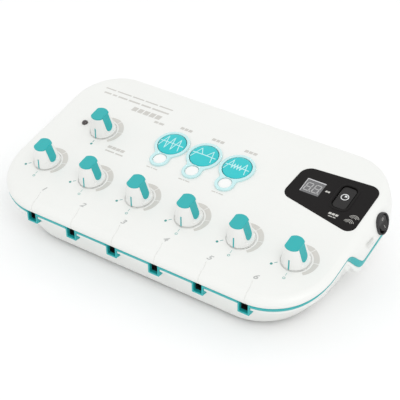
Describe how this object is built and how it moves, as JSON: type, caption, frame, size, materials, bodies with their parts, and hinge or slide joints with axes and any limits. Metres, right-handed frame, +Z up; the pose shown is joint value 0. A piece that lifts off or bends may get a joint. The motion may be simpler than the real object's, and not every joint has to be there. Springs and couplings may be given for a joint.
{
  "type": "multi channel nerve and muscle stimulator",
  "caption": "Low table unit with a sloping control deck, a row of output knobs over matching sockets, wave form keys, a timer panel and a rocker switch.",
  "frame": {"origin": "middle of the outline at the level of the rubber feet", "axes": "+X to the right seen from the front, +Y to the back, +Z up"},
  "size_m": [0.2899, 0.1532, 0.0741],
  "materials": {
    "shell_white": "satin moulded shell, very fine grain",
    "knob_white": "satin moulded",
    "teal_trim": "satin painted trim",
    "aqua_key": "soft satin silicone rubber",
    "black_gloss": "polished",
    "black_plastic": "matt moulded",
    "grey_plastic": "matt moulded",
    "dark_window": "clear window, smoked",
    "clear_bezel": "tinted translucent",
    "lamp_lens": "milky lens",
    "black_rubber": "matt",
    "steel": "bright zinc plated",
    "contact_brass": "plain",
    "circuit_board": "green solder mask",
    "cell_jacket": "printed sleeve on steel can"
  },
  "bodies": {
    "base": {"upper_shell": "shell_white", "trim_band": "teal_trim", "lower_shell": "shell_white", "battery_cover": "shell_white", "rubber_feet": "black_rubber", "case_screws": "steel", "control_fascia": "black_gloss", "display_window": "dark_window", "display_module": "black_plastic", "power_switch_body": "black_plastic", "indicator_led": "lamp_lens", "main_board": "circuit_board", "board_screws": "steel", "tact_switches": "grey_plastic", "output_contacts": "contact_brass", "dc_inlet": "black_plastic", "dc_inlet_pin": "steel", "battery_contacts": "steel", "battery_cells": "cell_jacket", "buzzer": "black_plastic", "socket_1": "black_plastic", "socket_2": "black_plastic", "socket_3": "black_plastic", "socket_4": "black_plastic", "socket_5": "black_plastic", "socket_6": "black_plastic", "pot_bodies": "grey_plastic", "pot_nuts": "steel", "wave_bezels": "clear_bezel", "status_lenses": "lamp_lens"},
    "knob_1": {"knob_body_1": "knob_white", "knob_insert_1": "teal_trim", "pot_shaft_1": "steel"},
    "knob_2": {"knob_body_2": "knob_white", "knob_insert_2": "teal_trim", "pot_shaft_2": "steel"},
    "knob_3": {"knob_body_3": "knob_white", "knob_insert_3": "teal_trim", "pot_shaft_3": "steel"},
    "knob_4": {"knob_body_4": "knob_white", "knob_insert_4": "teal_trim", "pot_shaft_4": "steel"},
    "knob_5": {"knob_body_5": "knob_white", "knob_insert_5": "teal_trim", "pot_shaft_5": "steel"},
    "knob_6": {"knob_body_6": "knob_white", "knob_insert_6": "teal_trim", "pot_shaft_6": "steel"},
    "knob_7": {"knob_body_7": "knob_white", "knob_insert_7": "teal_trim", "pot_shaft_7": "steel"},
    "wave_key_1": {"wave_key_1": "aqua_key"},
    "wave_key_2": {"wave_key_2": "aqua_key"},
    "wave_key_3": {"wave_key_3": "aqua_key"},
    "timer_key": {"timer_key": "black_gloss"},
    "power_rocker": {"power_rocker": "black_gloss"}
  },
  "joints": [
    {"name": "knob_1_turn", "type": "hinge", "parent": "base", "child": "knob_1", "pos_m": [-0.11, -0.0335, 0.046], "axis": [0, -0.1994, 0.9799], "range_deg": [-300, 0]},
    {"name": "knob_2_turn", "type": "hinge", "parent": "base", "child": "knob_2", "pos_m": [-0.066, -0.0335, 0.046], "axis": [0, -0.1994, 0.9799], "range_deg": [-300, 0]},
    {"name": "knob_3_turn", "type": "hinge", "parent": "base", "child": "knob_3", "pos_m": [-0.022, -0.0335, 0.046], "axis": [0, -0.1994, 0.9799], "range_deg": [-300, 0]},
    {"name": "knob_4_turn", "type": "hinge", "parent": "base", "child": "knob_4", "pos_m": [0.022, -0.0335, 0.046], "axis": [0, -0.1994, 0.9799], "range_deg": [-300, 0]},
    {"name": "knob_5_turn", "type": "hinge", "parent": "base", "child": "knob_5", "pos_m": [0.066, -0.0335, 0.046], "axis": [0, -0.1994, 0.9799], "range_deg": [-300, 0]},
    {"name": "knob_6_turn", "type": "hinge", "parent": "base", "child": "knob_6", "pos_m": [0.11, -0.0335, 0.046], "axis": [0, -0.1994, 0.9799], "range_deg": [-300, 0]},
    {"name": "knob_7_turn", "type": "hinge", "parent": "base", "child": "knob_7", "pos_m": [-0.091, 0.01354, 0.05557], "axis": [0, -0.1994, 0.9799], "range_deg": [-300, 0]},
    {"name": "wave_key_1_press", "type": "slide", "parent": "base", "child": "wave_key_1", "axis": [0, 0.1994, -0.9799], "range_m": [0, 0.0008], "stiffness_N_per_m": 1500, "springref_m": -0.0005},
    {"name": "wave_key_2_press", "type": "slide", "parent": "base", "child": "wave_key_2", "axis": [0, 0.1994, -0.9799], "range_m": [0, 0.0008], "stiffness_N_per_m": 1500, "springref_m": -0.0005},
    {"name": "wave_key_3_press", "type": "slide", "parent": "base", "child": "wave_key_3", "axis": [0, 0.1994, -0.9799], "range_m": [0, 0.0008], "stiffness_N_per_m": 1500, "springref_m": -0.0005},
    {"name": "timer_key_press", "type": "slide", "parent": "base", "child": "timer_key", "axis": [0, 0.1994, -0.9799], "range_m": [0, 0.0007], "stiffness_N_per_m": 1500, "springref_m": -0.0005},
    {"name": "power_rocker_tip", "type": "hinge", "parent": "base", "child": "power_rocker", "pos_m": [0.13836, 0.0323, 0.04781], "axis": [0, 1, 0], "range_deg": [0, 16]}
  ]
}
